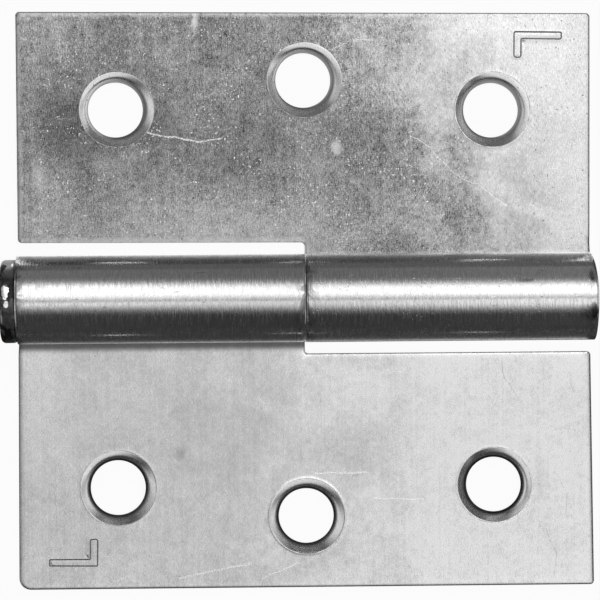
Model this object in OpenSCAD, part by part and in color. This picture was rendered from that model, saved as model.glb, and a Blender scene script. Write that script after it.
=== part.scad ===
// Lift-off door hinge, open and lying flat on the back faces of its two leaves.
// X runs along the pin, with the head of the pin at the -X end.
// Y runs across the leaves: the pin leaf is on the -Y side, the socket leaf on the +Y side.
// Z = 0 is the plane of both back faces, and the knuckles touch it from above.

/* [Sheet] */
// Thickness of the sheet that each leaf is cut and rolled from
sheet_t = 2.1; // [1.6:0.1:2.6]
// Gap that the rolled end leaves above the front face of its own leaf
seam_gap = 0.12; // [0.05:0.01:0.4]

/* [Leaves] */
// Length of both leaves along the pin
leaf_len = 75; // [68:1:110]
// Distance from the pin axis to the outer edge of the pin leaf
pin_leaf_reach = 37.9; // [34.5:0.1:50]
// Distance from the pin axis to the outer edge of the socket leaf
socket_leaf_reach = 37.4; // [34.5:0.1:50]
// Gap between a knuckle and the long edge of the other leaf
notch_gap = 1.6; // [0.8:0.1:3]
// Radius of the outer corners of a leaf
corner_r = 0.5; // [0.2:0.1:2]
// Radius of the worn outer corner on the knuckle side of the pin leaf
worn_corner_r = 1.5; // [0.5:0.1:4]
// Radius of the inside corner where the leaf is cut back for the other knuckle
notch_corner_r = 0.5; // [0.2:0.1:0.7]

/* [Screw holes] */
// Diameter of a screw hole
hole_d = 7.2; // [4.5:0.1:7.6]
// Diameter of the countersink at the front face
sink_d = 9.9; // [8:0.1:10.4]
// Depth of the countersink
sink_depth = 1.35; // [0.8:0.05:1.5]
// Distance from the pin axis to the centres of the two outer holes
outer_row = 24.7; // [20:0.1:27]
// Distance from the pin axis to the centre of the middle hole
middle_row = 28.6; // [20:0.1:29]
// Distance from the ends of a leaf to the centres of its outer holes
hole_inset = 12.9; // [8:0.1:18]

/* [Pin] */
// Diameter of the pin
pin_d = 7; // [5:0.1:7.4]
// Radial clearance between the pin and the bore of a knuckle
running_gap = 0.08; // [0.02:0.01:0.1]
// Diameter of the head of the pin
head_d = 10.8; // [9.5:0.1:11]
// Thickness of the head of the pin
head_t = 2; // [1.2:0.1:3]
// Radius of the two rims of the head
head_rim_r = 0.6; // [0.2:0.1:0.6]
// Gap between the head and the knuckle of the pin leaf
head_gap = 0.1; // [0.05:0.01:0.4]
// Distance by which the tip of the pin stops short of the far end of the socket
tip_short = 3; // [1:0.5:12]
// Radius of the rounded tip of the pin
tip_r = 2; // [0.5:0.1:2.4]

/* [Knuckles] */
// Gap between the two knuckles
joint_gap = 0.3; // [0.1:0.05:0.6]
// Distance by which the outer end of a knuckle sits inside the end of its leaf
knuckle_inset = 0.2; // [0.1:0.05:1]

/* [Hidden] */
$fn = 96;
steel = [0.78, 0.78, 0.79];
dark_steel = [0.42, 0.42, 0.43];

bore_r = pin_d / 2 + running_gap;
knuckle_r = bore_r + sheet_t;
axis_z = knuckle_r;
notch_reach = knuckle_r + notch_gap;
knuckle_start = joint_gap / 2;
knuckle_end = leaf_len / 2 - knuckle_inset;
// Angle below the horizontal at which the rolled end stops above the front face
seam_angle = asin((axis_z - sheet_t - seam_gap) / knuckle_r);
head_start = -knuckle_end - head_gap - head_t;
pin_end = knuckle_end - tip_short;
// Overlap of joined shapes, and overshoot of cutting shapes past the face that they cut
over = 1;

// The waste of a square corner at the origin when it is rounded to radius r
module corner_waste(r) {
    difference() {
        translate([-over, -over]) square(r + over);
        translate([r, r]) circle(r);
    }
}

// The web that fills an inside corner at the origin to radius r
module corner_web(r) {
    difference() {
        square(r);
        translate([r, r]) circle(r);
    }
}

// Plan of a leaf with its knuckle on the +X side, worked from the pin axis outwards
module leaf_plan(reach, knuckle_side_r) {
    difference() {
        union() {
            translate([-leaf_len / 2, notch_reach]) square([leaf_len, reach - notch_reach]);
            translate([knuckle_start, knuckle_r])
                square([leaf_len / 2 - knuckle_start, notch_gap + over]);
            translate([knuckle_start, 0])
                square([knuckle_end - knuckle_start, notch_reach + over]);
            translate([knuckle_start, notch_reach])
                mirror([1, 0]) mirror([0, 1]) corner_web(notch_corner_r);
        }
        translate([-leaf_len / 2, notch_reach]) corner_waste(corner_r);
        translate([-leaf_len / 2, reach]) mirror([0, 1]) corner_waste(corner_r);
        translate([leaf_len / 2, reach])
            mirror([1, 0]) mirror([0, 1]) corner_waste(knuckle_side_r);
    }
}

// Tool for one countersunk screw hole, standing on the back face
module screw_hole() {
    sink_h = sink_depth + over;
    flare = (sink_d - hole_d) * sink_h / sink_depth;
    translate([0, 0, -over]) cylinder(h = sheet_t + 2 * over, d = hole_d);
    translate([0, 0, sheet_t - sink_depth])
        cylinder(h = sink_h, d1 = hole_d, d2 = hole_d + flare);
}

// Section across a rolled knuckle: the sheet leaves the leaf at the bottom, turns round the
// far side and over the top, and stops just above the front face of the leaf
module knuckle_section() {
    far = 2 * knuckle_r;
    translate([0, axis_z]) difference() {
        circle(knuckle_r);
        circle(bore_r);
        polygon([
            [0, 0],
            [0, -far],
            [far, -far],
            [far * cos(seam_angle), -far * sin(seam_angle)]
        ]);
    }
}

// One leaf with its rolled knuckle on the +X side and its plate on the +Y side
module rolled_leaf(reach, knuckle_side_r) {
    difference() {
        union() {
            linear_extrude(sheet_t) leaf_plan(reach, knuckle_side_r);
            translate([knuckle_start, 0, 0]) rotate([90, 0, 90])
                linear_extrude(knuckle_end - knuckle_start) knuckle_section();
        }
        for (side = [-1, 1])
            translate([side * (leaf_len / 2 - hole_inset), outer_row, 0]) screw_hole();
        translate([0, middle_row, 0]) screw_hole();
    }
}

// Leaf that holds the pin, turned half round so that its knuckle is on the -X side
module pin_leaf() {
    color(steel) rotate([0, 0, 180]) rolled_leaf(pin_leaf_reach, worn_corner_r);
}

// Leaf that lifts off the pin
module socket_leaf() {
    color(steel) rolled_leaf(socket_leaf_reach, corner_r);
}

// Half section of the headed pin, from the outer face of its head to its rounded tip
module pin_half_section() {
    pin_len = pin_end - head_start;
    difference() {
        square([head_d / 2, head_t]);
        translate([head_d / 2, 0]) mirror([1, 0]) corner_waste(head_rim_r);
        translate([head_d / 2, head_t]) mirror([1, 0]) mirror([0, 1]) corner_waste(head_rim_r);
    }
    difference() {
        square([pin_d / 2, pin_len]);
        translate([pin_d / 2, pin_len]) mirror([1, 0]) mirror([0, 1]) corner_waste(tip_r);
    }
}

// Pin with an upset head, lying along X in both knuckles
module pin() {
    color(dark_steel) translate([head_start, 0, axis_z]) rotate([0, 90, 0])
        rotate_extrude() pin_half_section();
}

pin_leaf();
socket_leaf();
pin();
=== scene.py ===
"""Looks of a lift-off door hinge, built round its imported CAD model.

Each leaf is cut as a flat blank, with its countersunk holes and its stamped hand
mark, and a Geometry Nodes tree rolls one end of the blank round the pin.
"""

import logging
import math
from dataclasses import dataclass, field
from enum import Enum

import bmesh
import bpy
import numpy as np
from mathutils import Matrix, Vector, geometry, noise


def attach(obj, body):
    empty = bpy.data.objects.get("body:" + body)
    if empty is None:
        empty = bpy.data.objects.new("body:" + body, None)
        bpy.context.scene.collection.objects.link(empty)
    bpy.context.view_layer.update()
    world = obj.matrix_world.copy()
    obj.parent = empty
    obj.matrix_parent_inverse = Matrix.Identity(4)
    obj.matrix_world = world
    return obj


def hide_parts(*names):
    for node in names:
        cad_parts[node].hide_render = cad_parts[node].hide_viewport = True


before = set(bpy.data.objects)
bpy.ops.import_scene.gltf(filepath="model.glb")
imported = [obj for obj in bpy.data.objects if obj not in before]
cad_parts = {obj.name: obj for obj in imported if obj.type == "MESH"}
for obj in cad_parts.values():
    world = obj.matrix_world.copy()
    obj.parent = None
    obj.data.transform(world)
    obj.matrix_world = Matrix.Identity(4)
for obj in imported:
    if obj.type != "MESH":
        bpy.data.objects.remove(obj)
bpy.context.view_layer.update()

LOG = logging.getLogger("hinge")
MM = 0.001
UV_NAME = "plan"
RIM_NAME = "rim"
STAMP_NAME = "stamp"

Pair = tuple[float, float]
Socket = bpy.types.NodeSocket
Feed = Socket | float | tuple


# ---------------------------------------------------------------- sheet metal outlines


def unit(vectors: np.ndarray) -> np.ndarray:
    """Scales rows of vectors to length one."""
    return vectors / np.maximum(np.linalg.norm(vectors, axis=1, keepdims=True), 1e-12)


def rounded(corners: list[tuple[float, float, float]]) -> list[Pair]:
    """Rounds the corners of a closed outline.

    Args:
        corners: x, y and corner radius of each corner, anticlockwise.

    Returns:
        The outline's points, with an arc in place of each rounded corner.
    """
    points: list[Pair] = []
    count = len(corners)
    for i, (x, y, radius) in enumerate(corners):
        here = Vector((x, y))
        back = Vector(corners[i - 1][:2]) - here
        ahead = Vector(corners[(i + 1) % count][:2]) - here
        back.normalize()
        ahead.normalize()
        if radius <= 0:
            points.append((x, y))
            continue
        half = math.acos(max(-1.0, min(1.0, back.dot(ahead)))) / 2
        start = here + back * (radius / math.tan(half))
        end = here + ahead * (radius / math.tan(half))
        centre = here + (back + ahead).normalized() * (radius / math.sin(half))
        steps = 8
        for k in range(steps + 1):
            arm = (start - centre).lerp(end - centre, k / steps).normalized()
            points.append(tuple(centre + arm * radius))
    return points


def resampled(points: list[Pair], step_x: float, step_y: float) -> np.ndarray:
    """Cuts the long sides of a closed outline into short ones.

    Args:
        points: The outline's corner points.
        step_x: Longest side along X.
        step_y: Longest side along Y.

    Returns:
        The points as an (n, 2) array.
    """
    out: list[np.ndarray] = []
    for i, start in enumerate(points):
        a, b = np.array(start), np.array(points[(i + 1) % len(points)])
        gap = np.abs(b - a)
        count = max(1, math.ceil(gap[0] / step_x - 1e-6), math.ceil(gap[1] / step_y - 1e-6))
        out += [a + (b - a) * k / count for k in range(count)]
    return np.array(out)


def inset(loop: np.ndarray, distance: float) -> np.ndarray:
    """Moves every side of an anticlockwise outline inwards by one distance."""
    before = unit(loop - np.roll(loop, 1, axis=0))
    after = unit(np.roll(loop, -1, axis=0) - loop)
    n1 = np.column_stack([-before[:, 1], before[:, 0]])
    n2 = np.column_stack([-after[:, 1], after[:, 0]])
    spread = 1 + np.sum(n1 * n2, axis=1, keepdims=True)
    return loop + distance * (n1 + n2) / spread


def circle(centre: Pair, radius: float, count: int = 72) -> np.ndarray:
    """Points of a circle, anticlockwise."""
    turn = np.arange(count) * 2 * math.pi / count
    return np.column_stack(
        [centre[0] + radius * np.cos(turn), centre[1] + radius * np.sin(turn)]
    )


def inside(points: np.ndarray, loop: np.ndarray) -> np.ndarray:
    """Tells which points lie inside a closed outline."""
    x, y = points[:, 0:1], points[:, 1:2]
    x1, y1 = loop[:, 0], loop[:, 1]
    x2, y2 = np.roll(x1, -1), np.roll(y1, -1)
    rise = np.where(y2 == y1, 1e-12, y2 - y1)
    crosses = ((y1 > y) != (y2 > y)) & (x < (x2 - x1) * (y - y1) / rise + x1)
    return crosses.sum(axis=1) % 2 == 1


def nearest(points: np.ndarray, loops: list[np.ndarray]) -> np.ndarray:
    """Distance from each point to the closest side of some closed outlines."""
    starts = np.concatenate(loops)
    sides = np.concatenate([np.roll(loop, -1, axis=0) - loop for loop in loops])
    squares = np.maximum((sides**2).sum(axis=1), 1e-12)
    out = np.empty(len(points))
    for first in range(0, len(points), 1500):
        part = points[first : first + 1500, None, :] - starts[None, :, :]
        share = np.clip((part * sides).sum(axis=2) / squares, 0.0, 1.0)
        gap = part - share[:, :, None] * sides[None, :, :]
        out[first : first + 1500] = np.sqrt((gap**2).sum(axis=2).min(axis=1))
    return out


class FacePlan:
    """One face of a flat blank: points with heights, and the loops its triangles follow."""

    def __init__(self) -> None:
        """Starts an empty plan."""
        self.points: list[np.ndarray] = []
        self.heights: list[np.ndarray] = []
        self.edges: list[tuple[int, int]] = []
        self.count = 0

    def add_points(self, points: np.ndarray, height: float | np.ndarray) -> range:
        """Adds loose points at their heights and returns their numbers."""
        numbers = range(self.count, self.count + len(points))
        self.points.append(points)
        self.heights.append(np.broadcast_to(height, len(points)))
        self.count += len(points)
        return numbers

    def add_loop(self, loop: np.ndarray, height: float | np.ndarray) -> range:
        """Adds a closed loop at its heights and returns the numbers of its points."""
        numbers = self.add_points(loop, height)
        last = numbers[-1]
        self.edges += [(i, i + 1 if i < last else numbers[0]) for i in numbers]
        return numbers

    def triangles(
        self, outline: np.ndarray, holes: list[np.ndarray]
    ) -> tuple[np.ndarray, np.ndarray, dict[int, int], np.ndarray]:
        """Fills the plan with triangles, except outside the outline and in the holes.

        Args:
            outline: Outer boundary.
            holes: Boundary of each hole.

        Returns:
            Points, heights, a map from added number to point row, and triangles.
        """
        points = np.concatenate(self.points)
        heights = np.concatenate(self.heights)
        found = geometry.delaunay_2d_cdt(
            [Vector(p) for p in points], self.edges, [], 0, 1e-7
        )
        flat = np.array([tuple(p) for p in found[0]])
        rows = {old: new for new, olds in enumerate(found[3]) for old in olds}
        height = np.array([heights[olds[0]] if olds else 0.0 for olds in found[3]])
        faces = np.array([f for f in found[2] if len(f) == 3])
        middle = flat[faces].mean(axis=1)
        keep = inside(middle, outline)
        for hole in holes:
            keep &= ~inside(middle, hole)
        return flat, height, rows, faces[keep]


# ---------------------------------------------------------------- node trees


class NodeWriter:
    """Short calls for writing a node tree."""

    def __init__(self, tree: bpy.types.NodeTree) -> None:
        """Starts on a tree and clears it."""
        self.tree = tree
        tree.nodes.clear()

    def node(self, kind: str, **settings: object) -> bpy.types.Node:
        """Adds a node and sets its properties."""
        made = self.tree.nodes.new(kind)
        for name, value in settings.items():
            setattr(made, name, value)
        return made

    def feed(self, target: Socket, value: Feed) -> None:
        """Links a socket to the target, or writes a plain value on it."""
        if isinstance(value, bpy.types.NodeSocket):
            self.tree.links.new(value, target)
        else:
            target.default_value = value

    def math(self, operation: str, a: Feed, b: Feed = 0.0, clamp: bool = False) -> Socket:
        """Adds a Math node."""
        kind = "ShaderNodeMath"
        made = self.node(kind, operation=operation, use_clamp=clamp)
        self.feed(made.inputs[0], a)
        self.feed(made.inputs[1], b)
        return made.outputs[0]

    def vector(self, operation: str, a: Feed, b: Feed = (0.0, 0.0, 0.0)) -> bpy.types.Node:
        """Adds a Vector Math node and returns the node."""
        made = self.node("ShaderNodeVectorMath", operation=operation)
        self.feed(made.inputs[0], a)
        if operation != "LENGTH":
            self.feed(made.inputs[1], b)
        return made

    def stretch(self, vector: Feed, scale: tuple, turn: float = 0.0) -> Socket:
        """Scales a pattern's coordinates, and turns them about Z by an angle in degrees."""
        made = self.node("ShaderNodeMapping")
        self.feed(made.inputs["Vector"], vector)
        made.inputs["Scale"].default_value = scale
        made.inputs["Rotation"].default_value = (0.0, 0.0, math.radians(turn))
        return made.outputs[0]

    def noise(
        self,
        vector: Feed,
        scale: float,
        detail: float = 2.0,
        roughness: float = 0.5,
        distortion: float = 0.0,
    ) -> Socket:
        """Adds a Noise Texture and returns its value."""
        made = self.node("ShaderNodeTexNoise")
        self.feed(made.inputs["Vector"], vector)
        made.inputs["Scale"].default_value = scale
        made.inputs["Detail"].default_value = detail
        made.inputs["Roughness"].default_value = roughness
        made.inputs["Distortion"].default_value = distortion
        return made.outputs[0]

    def ramp(
        self, value: Feed, low: float, high: float, at_low: float = 0.0, at_high: float = 1.0
    ) -> Socket:
        """Turns the range low to high smoothly into at_low to at_high."""
        made = self.node("ShaderNodeMapRange", interpolation_type="SMOOTHSTEP")
        for name, amount in zip(
            ("Value", "From Min", "From Max", "To Min", "To Max"),
            (value, low, high, at_low, at_high),
        ):
            self.feed(made.inputs[name], amount)
        return made.outputs[0]

    def mix(self, factor: Feed, a: Feed, b: Feed) -> Socket:
        """Mixes two numbers."""
        made = self.node("ShaderNodeMix", data_type="FLOAT")
        self.feed(made.inputs[0], factor)
        self.feed(made.inputs[2], a)
        self.feed(made.inputs[3], b)
        return made.outputs[0]

    def mix_colour(self, factor: Feed, a: Feed, b: Feed) -> Socket:
        """Mixes two colours."""
        made = self.node("ShaderNodeMix", data_type="RGBA")
        self.feed(made.inputs[0], factor)
        self.feed(made.inputs[6], a)
        self.feed(made.inputs[7], b)
        return made.outputs[2]


def grey(level: float, warmth: float = 0.0) -> tuple[float, float, float, float]:
    """A grey of one level, a little warmer for a positive warmth."""
    return (level * (1 + warmth), level, level * (1 - warmth), 1.0)


def scratch_group() -> bpy.types.NodeTree:
    """Node group that draws one straight scratch.

    Returns:
        A group with the inputs Vector, Start, End and Width and the output Mask.
    """
    group = bpy.data.node_groups.new("Scratch line", "ShaderNodeTree")
    face = group.interface
    for name, kind in (
        ("Vector", "NodeSocketVector"),
        ("Start", "NodeSocketVector"),
        ("End", "NodeSocketVector"),
        ("Width", "NodeSocketFloat"),
    ):
        face.new_socket(name, in_out="INPUT", socket_type=kind)
    face.new_socket("Mask", in_out="OUTPUT", socket_type="NodeSocketFloat")
    w = NodeWriter(group)
    ins = w.node("NodeGroupInput").outputs
    outs = w.node("NodeGroupOutput").inputs
    along = w.vector("SUBTRACT", ins["End"], ins["Start"]).outputs[0]
    reach = w.vector("SUBTRACT", ins["Vector"], ins["Start"]).outputs[0]
    share = w.math(
        "DIVIDE",
        w.vector("DOT_PRODUCT", reach, along).outputs["Value"],
        w.vector("DOT_PRODUCT", along, along).outputs["Value"],
        clamp=True,
    )
    foot = w.node("ShaderNodeVectorMath", operation="SCALE")
    w.feed(foot.inputs[0], along)
    w.feed(foot.inputs["Scale"], share)
    gap = w.vector("SUBTRACT", reach, foot.outputs[0]).outputs[0]
    length = w.vector("LENGTH", gap).outputs["Value"]
    near = w.math("DIVIDE", length, ins["Width"])
    w.feed(outs["Mask"], w.ramp(near, 0.35, 1.0, 1.0, 0.0))
    return group


# ---------------------------------------------------------------- finishes


@dataclass(frozen=True)
class Scratch:
    """One straight scratch on a leaf, in millimetres of the leaf's plan."""

    start: Pair
    end: Pair
    width: float = 0.12
    depth: float = 1.0


@dataclass(frozen=True)
class Stain:
    """A soft round patch that is darker or lighter than the sheet round it."""

    centre: Pair
    radius: Pair
    tone: float


@dataclass(frozen=True)
class ZincFinish:
    """Zinc-plated cold-rolled sheet, with grain, grime, flecks and scratches.

    Levels are reflectances from 0 to 1, and places are millimetres of the leaf's plan.
    The colour also holds painted shade and painted highlights: the plate darkens across X,
    lines of set level run along the knuckle's flanks, each countersink is dark low down and
    light above, the plate has a dark band at the foot of the knuckle, and a dark line runs
    round the hand mark.
    """

    name: str
    seed: float
    # Painted shade: the plate's lighter and darker levels, the X values between which it darkens from the first to
    # the second, and a slope that tilts this run along Y.
    unshaded_level: float
    painted_shade_level: float
    shade_starts_at: float
    shade_full_at: float
    shade_slope: float
    plate_sign: float
    grit: float
    mottle: float
    flecks: float
    # Strength of a painted shade band on the plate at the foot of the knuckle.
    painted_foot_shade: float
    holes: tuple[Pair, ...]
    bright: tuple[Scratch, ...]
    dark: tuple[Scratch, ...]
    stains: tuple[Stain, ...]
    rolled: float = 0.79
    # Painted highlight and painted shade in each countersink: the level of its upper part, and of its lower part by
    # the hole.
    dish: float = 0.78
    painted_sink_shade: float = 0.14
    # Painted highlight and painted shade along the knuckle: places round the roll, each with the level painted in a
    # line there.
    painted_flank_lines: tuple[Pair, ...] = ()

    def lines(
        self,
        w: NodeWriter,
        vector: Socket,
        group: bpy.types.NodeTree,
        marks: tuple[Scratch, ...],
    ) -> Feed:
        """Draws a set of scratches and returns the mask of all of them."""
        total: Feed = 0.0
        for mark in marks:
            line = w.node("ShaderNodeGroup", node_tree=group)
            w.feed(line.inputs["Vector"], vector)
            line.inputs["Start"].default_value = (*mark.start, 0.0)
            line.inputs["End"].default_value = (*mark.end, 0.0)
            line.inputs["Width"].default_value = mark.width
            scaled = w.math("MULTIPLY", line.outputs["Mask"], mark.depth)
            total = w.math("MAXIMUM", total, scaled)
        return total

    def patches(self, w: NodeWriter, vector: Socket) -> Feed:
        """Adds up the stains as one signed number."""
        total: Feed = 0.0
        for stain in self.stains:
            offset = w.vector("SUBTRACT", vector, (*stain.centre, 0.0)).outputs[0]
            scaled = w.vector(
                "DIVIDE", offset, (stain.radius[0], stain.radius[1], 1.0)
            ).outputs[0]
            length = w.vector("LENGTH", scaled).outputs["Value"]
            total = w.math("ADD", total, w.ramp(length, 0.2, 1.2, stain.tone, 0.0))
        return total

    def hole_distance(self, w: NodeWriter, vector: Socket) -> Feed:
        """Distance to the centre of the nearest screw hole."""
        total: Feed = 100.0
        for centre in self.holes:
            offset = w.vector("SUBTRACT", vector, (*centre, 0.0)).outputs[0]
            total = w.math("MINIMUM", total, w.vector("LENGTH", offset).outputs["Value"])
        return total

    def material(self, group: bpy.types.NodeTree) -> bpy.types.Material:
        """Builds the material."""
        made = bpy.data.materials.new(self.name)
        made.use_nodes = True
        w = NodeWriter(made.node_tree)
        flat = w.node("ShaderNodeUVMap", uv_map=UV_NAME).outputs[0]
        shifted = w.vector("ADD", flat, (self.seed, self.seed * 0.7, 0.0)).outputs[0]
        place = w.node("ShaderNodeSeparateXYZ")
        w.feed(place.inputs[0], flat)
        wobble = w.node("ShaderNodeTexNoise")
        w.feed(wobble.inputs["Vector"], shifted)
        wobble.inputs["Scale"].default_value = 0.45
        wobble.inputs["Detail"].default_value = 4.0
        bent = w.vector("MULTIPLY_ADD", wobble.outputs["Color"], (0.8, 0.8, 0.0))
        w.feed(bent.inputs[2], flat)
        drawn = w.vector("SUBTRACT", bent.outputs[0], (0.4, 0.4, 0.0)).outputs[0]

        bristle = w.noise(w.stretch(shifted, (8.0, 1.9, 1.0)), 1.0, 2.0, 0.6)
        salt = w.noise(shifted, 6.5, 1.0, 0.5)
        clump = w.noise(w.stretch(shifted, (1.5, 1.0, 1.0)), 1.0, 4.0, 0.65)
        smudge = w.noise(shifted, 0.5, 4.0, 0.6, 0.8)
        cloud = w.noise(shifted, 0.13, 3.0, 0.55, 0.5)
        drawing = w.noise(w.stretch(shifted, (2.2, 0.06, 1.0)), 1.0, 2.0)

        plate = w.ramp(w.math("MULTIPLY", place.outputs[1], self.plate_sign), 4.4, 6.4)
        # Painted shade: the plate darkens along X from its lighter to its darker level, tilted with Y and broken up
        # by two noises.
        tilt = w.math("MULTIPLY", place.outputs[1], self.shade_slope)
        slope = w.math("ADD", place.outputs[0], tilt)
        slope = w.math("ADD", slope, w.ramp(clump, 0.3, 0.7, -2.0, 2.0))
        slope = w.math("ADD", slope, w.ramp(cloud, 0.3, 0.7, -4.0, 4.0))
        field_level = w.ramp(slope, self.shade_full_at, self.shade_starts_at, self.painted_shade_level, self.unshaded_level)
        marks = self.patches(w, drawn)
        field_level = w.math("ADD", field_level, marks)
        rim = w.node("ShaderNodeAttribute", attribute_name=RIM_NAME).outputs["Fac"]
        edge = w.math("MULTIPLY", w.ramp(rim, 0.1, 0.9, 0.75, 0.0), w.ramp(clump, 0.2, 0.5))
        field_level = w.mix(edge, field_level, self.unshaded_level)

        grit = w.math("MULTIPLY", w.math("SUBTRACT", bristle, 0.5), 2.6)
        grit = w.math("ADD", grit, w.math("MULTIPLY", w.math("SUBTRACT", salt, 0.5), 2.2))
        rubbed = w.ramp(field_level, 0.30, 0.66, self.grit, self.grit * 0.22)
        grit = w.math("MULTIPLY", grit, rubbed)
        soft: Feed = 0.0
        for pattern, amount in ((clump, 0.8), (smudge, 0.9), (cloud, 0.7), (drawing, 0.5)):
            part = w.math("MULTIPLY", w.math("SUBTRACT", pattern, 0.5), amount)
            soft = w.math("ADD", soft, part)
        soft = w.math("MULTIPLY", soft, w.math("MULTIPLY", rubbed, self.mottle / self.grit))
        grit = w.math("ADD", grit, soft)
        level = w.math("MULTIPLY", field_level, w.math("ADD", grit, 1.0))

        gap = self.hole_distance(w, flat)
        dish = w.ramp(gap, 4.86, 4.98, 1.0, 0.0)
        # Painted shade and painted highlight in each countersink: dark by the hole, light from 4.25 mm out.
        sink_shade_and_light = w.math("MULTIPLY", w.ramp(gap, 3.75, 4.25, self.painted_sink_shade, self.dish), 1.0)
        sink_shade_and_light = w.math("MULTIPLY", sink_shade_and_light, w.ramp(salt, 0.3, 0.7, 0.94, 1.05))
        scored = w.math("ABSOLUTE", w.math("SUBTRACT", gap, 4.95))
        scored = w.ramp(scored, 0.02, 0.09, 0.45, 0.0)
        scored = w.math("MULTIPLY", scored, w.ramp(smudge, 0.44, 0.56))
        level = w.mix(dish, level, sink_shade_and_light)
        level = w.mix(scored, level, 0.12)
        knuckle_tone_and_flank_light = w.math("MULTIPLY", w.ramp(clump, 0.3, 0.7, 0.93, 1.04), self.rolled)
        knuckle_tone_and_flank_light = w.math("MULTIPLY", knuckle_tone_and_flank_light, w.ramp(bristle, 0.3, 0.7, 0.94, 1.05))
        grime = w.math("MULTIPLY", w.ramp(rim, 0.15, 1.9, 1.0, 0.0), w.ramp(smudge, 0.46, 0.58))
        scuff = w.ramp(w.noise(w.stretch(shifted, (0.55, 2.4, 1.0)), 1.0, 3.0, 0.65), 0.64, 0.70)
        grime = w.math("MAXIMUM", w.math("MULTIPLY", grime, 0.75), w.math("MULTIPLY", scuff, 0.5))
        knuckle_tone_and_flank_light = w.mix(grime, knuckle_tone_and_flank_light, 0.16)
        knuckle_tone_and_flank_light = w.math("MAXIMUM", w.math("ADD", knuckle_tone_and_flank_light, marks), 0.1)
        # Painted highlight and painted shade: a line of set level along the knuckle at each listed place round the
        # roll.
        for spot, tone in self.painted_flank_lines:
            far = w.math("ABSOLUTE", w.math("SUBTRACT", place.outputs[1], spot))
            knuckle_tone_and_flank_light = w.mix(w.ramp(far, 0.6, 1.5, 1.0, 0.0), knuckle_tone_and_flank_light, tone)
        level = w.mix(plate, knuckle_tone_and_flank_light, level)

        gathered = w.ramp(w.noise(shifted, 0.22, 2.0), 0.44, 0.62)
        specks = w.ramp(w.noise(w.stretch(shifted, (3.4, 2.5, 1.0)), 1.0, 1.0), 0.64, 0.71)
        specks = w.math("MULTIPLY", specks, w.math("MULTIPLY", gathered, self.flecks))
        blots = w.ramp(w.noise(shifted, 1.5, 3.0, 0.6), 0.66, 0.74)
        blots = w.math("MULTIPLY", w.math("MULTIPLY", blots, gathered), self.flecks * 0.5)
        specks = w.math("MAXIMUM", specks, blots)
        specks = w.math("MULTIPLY", specks, w.ramp(field_level, 0.35, 0.6, 1.0, 0.35))
        ticks = w.math("ABSOLUTE", w.math("SUBTRACT", w.noise(drawn, 0.55, 2.0), 0.5))
        ticks = w.ramp(ticks, 0.0, 0.008, 1.0, 0.0)
        broken = w.ramp(w.noise(shifted, 0.62, 3.0, 0.6), 0.56, 0.62)
        ticks = w.math("MULTIPLY", w.math("MULTIPLY", ticks, broken), self.flecks * 0.55)
        pits = w.ramp(w.noise(w.stretch(shifted, (3.0, 2.2, 1.0), 40.0), 1.0, 1.0), 0.31, 0.25)
        pits = w.math("MULTIPLY", pits, self.flecks * 0.5)
        patchy = w.ramp(salt, 0.36, 0.56, 0.25, 1.0)
        light = w.math("MULTIPLY", self.lines(w, drawn, group, self.bright), patchy)
        light = w.math("MAXIMUM", light, w.math("MAXIMUM", specks, ticks))
        light = w.math("MULTIPLY", light, w.math("SUBTRACT", 1.0, dish))
        deep = w.math("MULTIPLY", self.lines(w, drawn, group, self.dark), patchy)
        deep = w.math("MAXIMUM", deep, w.math("MULTIPLY", pits, plate))
        # Painted shade: a dark band on the plate at the foot of the knuckle, where it meets the roll.
        painted_foot_shade = w.ramp(w.math("ABSOLUTE", place.outputs[1]), 6.1, 7.1, self.painted_foot_shade, 0.0)
        painted_foot_shade = w.math("MULTIPLY", painted_foot_shade, w.ramp(plate, 0.0, 0.3))
        # Painted shade: a dark line round the hand mark's sunken floor, taken down to 0.10 with the foot band below.
        stamp = w.node("ShaderNodeAttribute", attribute_name=STAMP_NAME).outputs["Fac"]
        stamp = w.ramp(stamp, 0.04, 0.13, 0.6, 0.0)
        level = w.mix(w.math("MULTIPLY", light, plate), level, 0.93)
        level = w.mix(deep, level, 0.10)
        level = w.mix(w.math("MAXIMUM", painted_foot_shade, stamp), level, 0.10)
        level = w.math("MINIMUM", w.math("MAXIMUM", level, 0.02), 0.96)

        dullness = w.ramp(level, 0.25, 0.85, 0.42, 0.27)
        comb = w.noise(w.stretch(shifted, (6.5, 0.55, 1.0)), 1.0, 2.0, 0.6)
        polish = w.math("ADD", w.ramp(comb, 0.42, 0.66, 0.10, 0.30), w.math("MULTIPLY", grime, 0.2))
        rough = w.mix(plate, polish, dullness)
        rough = w.math("ADD", rough, w.ramp(bristle, 0.3, 0.7, 0.03, -0.03))

        height = w.math("MULTIPLY", bristle, 0.004)
        height = w.math("ADD", height, w.math("MULTIPLY", drawing, 0.008))
        height = w.math("ADD", height, w.math("MULTIPLY", salt, 0.002))
        ripple = w.noise(w.stretch(shifted, (2.6, 0.75, 1.0)), 1.0, 3.0, 0.6)
        swell = w.mix(plate, w.math("MULTIPLY", ripple, 0.020), w.math("MULTIPLY", clump, 0.006))
        height = w.math("ADD", height, swell)
        height = w.math("ADD", height, w.math("MULTIPLY", light, -0.010))
        height = w.math("ADD", height, w.math("MULTIPLY", deep, -0.010))
        bump = w.node("ShaderNodeBump")
        bump.inputs["Strength"].default_value = 1.0
        bump.inputs["Distance"].default_value = MM
        w.feed(bump.inputs["Height"], height)

        shader = w.node("ShaderNodeBsdfPrincipled")
        shader.inputs["Metallic"].default_value = 1.0
        shader.inputs["Anisotropic"].default_value = 0.35
        w.feed(shader.inputs["Base Color"], level)
        w.feed(shader.inputs["Roughness"], rough)
        w.feed(shader.inputs["Normal"], bump.outputs[0])
        tangent = w.node("ShaderNodeTangent", direction_type="UV_MAP", uv_map=UV_NAME)
        w.feed(shader.inputs["Tangent"], tangent.outputs[0])
        out = w.node("ShaderNodeOutputMaterial")
        w.feed(out.inputs["Surface"], shader.outputs[0])
        return made


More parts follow.
